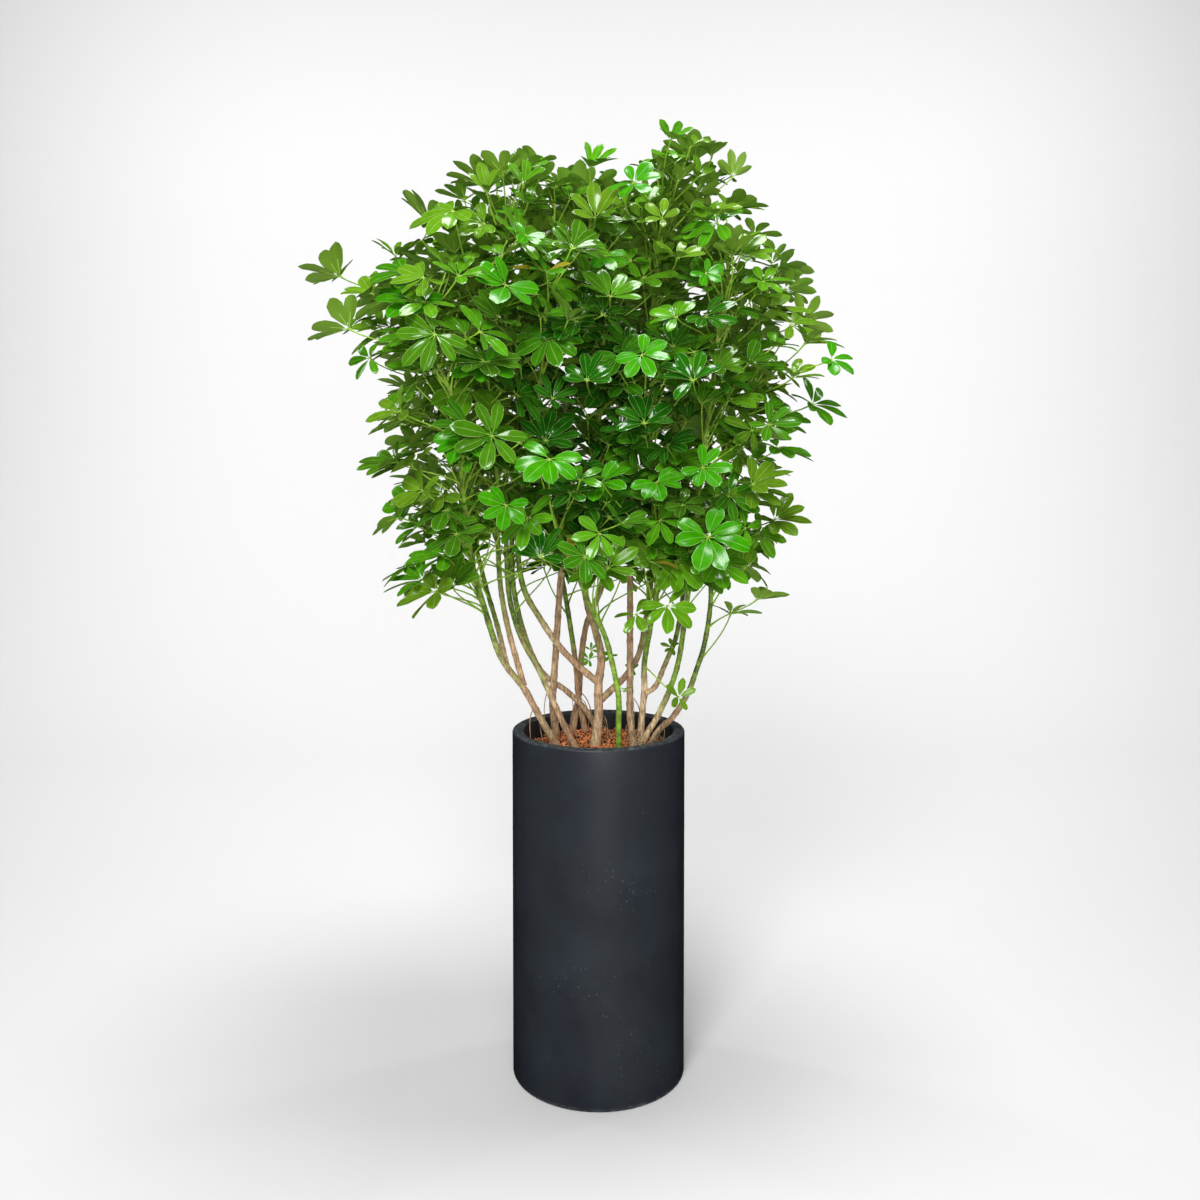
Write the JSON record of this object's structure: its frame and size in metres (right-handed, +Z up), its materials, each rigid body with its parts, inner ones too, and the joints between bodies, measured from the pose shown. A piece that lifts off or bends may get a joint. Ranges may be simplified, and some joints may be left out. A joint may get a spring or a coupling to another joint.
{
  "type": "potted umbrella plant",
  "caption": "Bushy dwarf umbrella plant with glossy palm-shaped leaves on many slim stems, in a tall straight-sided round planter topped with husk chips.",
  "frame": {"origin": "middle of the planter's flat foot, where it stands on the floor", "axes": "+Z up along the planter's axis, -Y to the front, +X to the right as seen from the front"},
  "size_m": [0.958, 0.6825, 1.6649],
  "materials": {
    "planter": "matte",
    "soil": "matte",
    "husk": "matte",
    "bark": "matte",
    "leaf": "satin"
  },
  "bodies": {
    "root": {"planter": "planter", "potting_soil": "soil", "husk_mulch": "husk", "woody_base_01": "bark", "woody_base_02": "bark", "woody_base_03": "bark", "woody_base_04": "bark", "woody_base_05": "bark", "woody_base_06": "bark", "woody_base_07": "bark", "woody_base_08": "bark", "woody_base_09": "bark", "woody_base_10": "bark", "woody_base_11": "bark", "leafy_stem_01": "leaf", "leafy_stem_02": "leaf", "leafy_stem_03": "leaf", "leafy_stem_04": "leaf", "leafy_stem_05": "leaf", "leafy_stem_06": "leaf", "leafy_stem_07": "leaf", "leafy_stem_08": "leaf", "leafy_stem_09": "leaf", "leafy_stem_10": "leaf", "leafy_stem_11": "leaf", "leafy_stem_12": "leaf", "leafy_stem_13": "leaf", "leafy_stem_14": "leaf", "leafy_stem_15": "leaf", "leafy_stem_16": "leaf", "leafy_stem_17": "leaf"}
  },
  "joints": []
}
